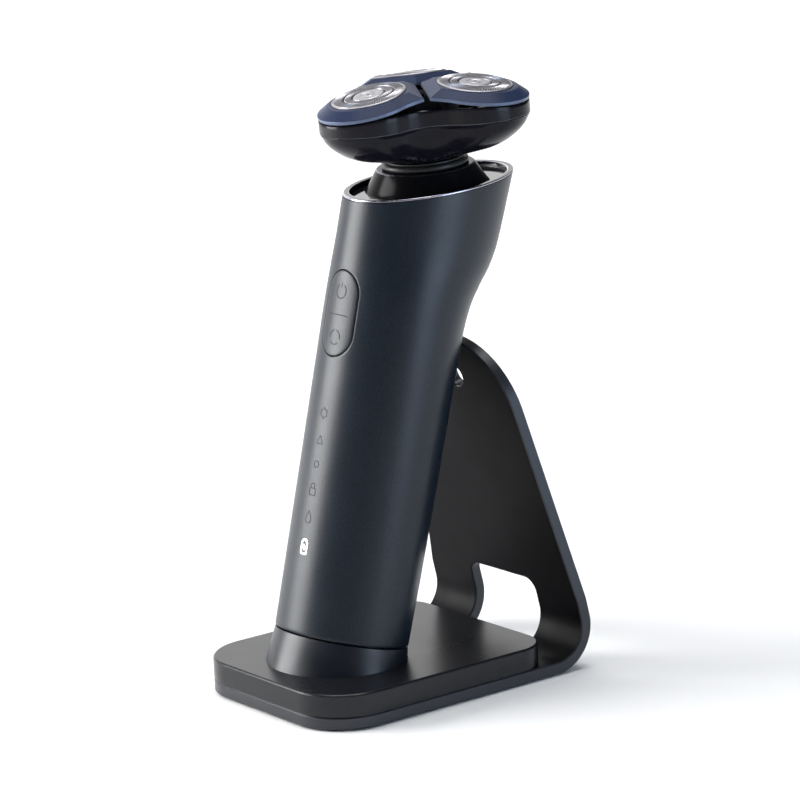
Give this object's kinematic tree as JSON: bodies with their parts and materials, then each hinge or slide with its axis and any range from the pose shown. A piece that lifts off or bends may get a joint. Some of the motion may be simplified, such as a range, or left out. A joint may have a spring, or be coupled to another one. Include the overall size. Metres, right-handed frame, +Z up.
{
  "type": "electric shaver",
  "caption": "Cordless rotary electric shaver leaning on its charging stand, with a floating three-lobed head on a pull-off neck and a rocker button.",
  "frame": {"origin": "centre of the base block's plan, on the surface the stand rests on", "axes": "+Z up, -Y towards the stand's front, +X to the viewer's right from the front"},
  "size_m": [0.0692, 0.0976, 0.1769],
  "materials": {
    "plate_coat": "satin powder coat",
    "block_plastic": "satin",
    "plinth_plastic": "satin",
    "pad_rubber": "matt",
    "sleeve_coat": "satin metallic",
    "rim_chrome": "polished",
    "gloss_black": "glossy",
    "key_plastic": "semi-gloss",
    "inner_plastic": "matt",
    "neck_rubber": "matt",
    "head_shell": "semi-gloss",
    "band_gloss": "glossy",
    "petal_coat": "satin metallic",
    "foil_steel": "brushed",
    "blade_steel": "polished",
    "steel": "satin",
    "contact_gold": "plated",
    "board": "satin",
    "cell_wrap": "satin",
    "lamp": "clear",
    "copper": "satin",
    "gear_plastic": "satin",
    "iron": "rough"
  },
  "bodies": {
    "stand": {"support_plate": "plate_coat", "foot_pad": "pad_rubber", "base_screws": "steel", "base_block": "block_plastic", "ballast_plate": "iron", "dock_board": "board", "usb_inlet": "steel", "dock_plinth": "plinth_plastic", "pin_springs": "steel"},
    "pins": {"charge_pins": "contact_gold"},
    "handle": {"handle_sleeve": "sleeve_coat", "rim_trim": "rim_chrome", "neck_pedestal": "gloss_black", "bottom_cap": "inner_plastic", "bottom_seal": "neck_rubber", "contact_pads": "contact_gold", "chassis": "inner_plastic", "battery_cell": "cell_wrap", "battery_tabs": "steel", "main_board": "board", "board_screws": "steel", "tact_switches": "inner_plastic", "status_leds": "lamp", "light_guide": "lamp", "motor_holder": "inner_plastic", "motor_can": "steel", "motor_bushes": "copper", "motor_magnets": "iron"},
    "button": {"button_key": "key_plastic"},
    "rotor": {"armature": "copper", "commutator": "copper", "drive_shaft": "steel", "drive_coupler": "gear_plastic"},
    "neck": {"neck_collar": "neck_rubber", "neck_bellows": "neck_rubber", "swivel_post": "inner_plastic", "tilt_pins_x": "steel"},
    "gimbal": {"gimbal_ring": "inner_plastic", "tilt_pins_y": "steel"},
    "head": {"head_bowl": "head_shell", "gear_carrier": "inner_plastic"},
    "sun": {"sun_gear": "gear_plastic"},
    "frame": {"cutter_frame": "band_gloss"},
    "planet_1": {"planet_gear_1": "gear_plastic"},
    "petal_1": {"petal_1": "petal_coat", "foil_cap_1": "foil_steel"},
    "blade_1": {"cutter_1": "blade_steel", "spindle_1": "gear_plastic"},
    "planet_2": {"planet_gear_2": "gear_plastic"},
    "petal_2": {"petal_2": "petal_coat", "foil_cap_2": "foil_steel"},
    "blade_2": {"cutter_2": "blade_steel", "spindle_2": "gear_plastic"},
    "planet_3": {"planet_gear_3": "gear_plastic"},
    "petal_3": {"petal_3": "petal_coat", "foil_cap_3": "foil_steel"},
    "blade_3": {"cutter_3": "blade_steel", "spindle_3": "gear_plastic"}
  },
  "joints": [
    {"name": "pin_press", "type": "slide", "parent": "stand", "child": "pins", "axis": [0, -0.246, -0.9693], "range_m": [0, 0.0008], "stiffness_N_per_m": 400, "deforming": ["pin_springs"]},
    {"name": "lift_off", "type": "slide", "parent": "stand", "child": "handle", "axis": [0, 0.246, 0.9693], "range_m": [0, 0.06]},
    {"name": "button_rock", "type": "hinge", "parent": "handle", "child": "button", "pos_m": [0, -0.00436, 0.11167], "axis": [1, 0, 0], "range_deg": [-1.4, 1.4], "stiffness_Nm_per_rad": 0.08},
    {"name": "motor_spin", "type": "hinge", "parent": "handle", "child": "rotor", "pos_m": [0, 0.0278, 0.14612], "axis": [0, -0.0691, 0.9976], "continuous": true},
    {"name": "head_pull_off", "type": "slide", "parent": "handle", "child": "neck", "axis": [0, -0.0691, 0.9976], "range_m": [0, 0.02]},
    {"name": "head_tilt_x", "type": "hinge", "parent": "neck", "child": "gimbal", "pos_m": [0, 0.02701, 0.15749], "axis": [1, 0, 0], "range_deg": [-2.6, 2.6], "stiffness_Nm_per_rad": 0.12},
    {"name": "head_tilt_y", "type": "hinge", "parent": "gimbal", "child": "head", "pos_m": [0, 0.02701, 0.15749], "axis": [0, 0.9976, 0.0691], "range_deg": [-2.6, 2.6], "stiffness_Nm_per_rad": 0.12},
    {"name": "sun_spin", "type": "hinge", "parent": "head", "child": "sun", "pos_m": [0, 0.02649, 0.16507], "axis": [0, -0.0691, 0.9976], "continuous": true},
    {"name": "frame_lift", "type": "slide", "parent": "head", "child": "frame", "axis": [0, -0.0691, 0.9976], "range_m": [0, 0.014]},
    {"name": "planet_1_spin", "type": "hinge", "parent": "head", "child": "planet_1", "pos_m": [0, 0.01122, 0.16401], "axis": [0, -0.0691, 0.9976], "continuous": true},
    {"name": "planet_2_spin", "type": "hinge", "parent": "head", "child": "planet_2", "pos_m": [0.01325, 0.03412, 0.1656], "axis": [0, -0.0691, 0.9976], "continuous": true},
    {"name": "planet_3_spin", "type": "hinge", "parent": "head", "child": "planet_3", "pos_m": [-0.01325, 0.03412, 0.1656], "axis": [0, -0.0691, 0.9976], "continuous": true},
    {"name": "petal_1_tilt", "type": "hinge", "parent": "frame", "child": "petal_1", "pos_m": [0, 0.00875, 0.17016], "axis": [1, 0, 0], "range_deg": [-1, 1], "stiffness_Nm_per_rad": 0.05},
    {"name": "petal_2_tilt", "type": "hinge", "parent": "frame", "child": "petal_2", "pos_m": [0.01502, 0.0347, 0.17195], "axis": [-0.5, 0.864, 0.0598], "range_deg": [-1, 1], "stiffness_Nm_per_rad": 0.05},
    {"name": "petal_3_tilt", "type": "hinge", "parent": "frame", "child": "petal_3", "pos_m": [-0.01502, 0.0347, 0.17195], "axis": [-0.5, -0.864, -0.0598], "range_deg": [-1, 1], "stiffness_Nm_per_rad": 0.05},
    {"name": "blade_1_spin", "type": "hinge", "parent": "petal_1", "child": "blade_1", "pos_m": [0, 0.00875, 0.17016], "axis": [0, -0.2217, 0.9751], "continuous": true},
    {"name": "blade_2_spin", "type": "hinge", "parent": "petal_2", "child": "blade_2", "pos_m": [0.01502, 0.0347, 0.17195], "axis": [0.1332, 0.0085, 0.991], "continuous": true},
    {"name": "blade_3_spin", "type": "hinge", "parent": "petal_3", "child": "blade_3", "pos_m": [-0.01502, 0.0347, 0.17195], "axis": [-0.1332, 0.0085, 0.991], "continuous": true}
  ],
  "couplings": [
    {"joint": "sun_spin", "follows": "motor_spin", "ratio": 1},
    {"joint": "planet_1_spin", "follows": "motor_spin", "ratio": -0.64516},
    {"joint": "planet_2_spin", "follows": "motor_spin", "ratio": -0.64516},
    {"joint": "planet_3_spin", "follows": "motor_spin", "ratio": -0.64516},
    {"joint": "blade_1_spin", "follows": "motor_spin", "ratio": -0.64516},
    {"joint": "blade_2_spin", "follows": "motor_spin", "ratio": -0.64516},
    {"joint": "blade_3_spin", "follows": "motor_spin", "ratio": -0.64516}
  ]
}
